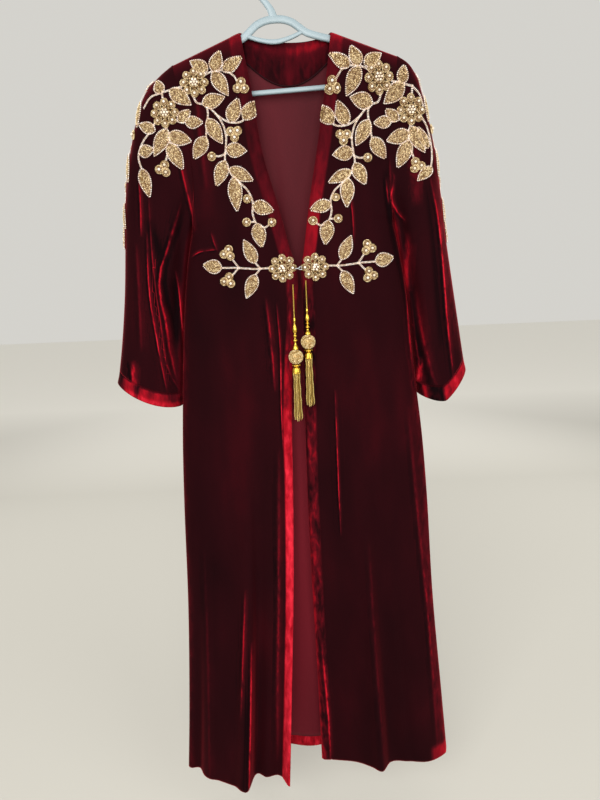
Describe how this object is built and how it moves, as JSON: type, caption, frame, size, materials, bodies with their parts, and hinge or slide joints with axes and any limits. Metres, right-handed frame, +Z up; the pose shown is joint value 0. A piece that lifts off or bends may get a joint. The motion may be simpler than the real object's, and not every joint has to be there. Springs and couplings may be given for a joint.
{
  "type": "abaya on a hanger",
  "caption": "Open-front velvet abaya with long sleeves, raised gold beaded flower sprays, a waist clasp and hanging tassels, on a moulded hanger.",
  "frame": {"origin": "the inner top of the hanger's hook, where it bears on its rail", "axes": "+X to the viewer's right across the garment, +Z up, and the open front faces -Y"},
  "size_m": [0.652, 0.1258, 1.5082],
  "materials": {
    "velvet": "silk-like velvet pile, dark red",
    "edge_velvet": "the same velvet cut across, brighter red",
    "satin": "smooth maroon lining satin",
    "beadwork": "gold seed beads and pearls sewn on a stiff backing",
    "gold_bead": "polished gold beads",
    "gold_thread": "twisted metallic thread",
    "steel": "plated wire",
    "plastic": "moulded, pale grey-green"
  },
  "bodies": {
    "root": {"back": "velvet", "front_left": "velvet", "front_right": "velvet", "sleeve_left": "velvet", "sleeve_right": "velvet", "neck_facing": "velvet", "cuff_left": "edge_velvet", "cuff_right": "edge_velvet", "back_lining": "satin", "hanger": "plastic", "spray_shoulder_left": "beadwork", "spray_outer_left": "beadwork", "spray_waist_left": "beadwork", "spray_shoulder_right": "beadwork", "spray_outer_right": "beadwork", "spray_waist_right": "beadwork", "clasp_hook": "steel", "clasp_eye": "steel", "tassel_cord_left": "gold_thread", "tassel_beads_left": "gold_bead", "tassel_ball_left": "beadwork", "tassel_skirt_left": "gold_thread", "tassel_cord_right": "gold_thread", "tassel_beads_right": "gold_bead", "tassel_ball_right": "beadwork", "tassel_skirt_right": "gold_thread"}
  },
  "joints": []
}
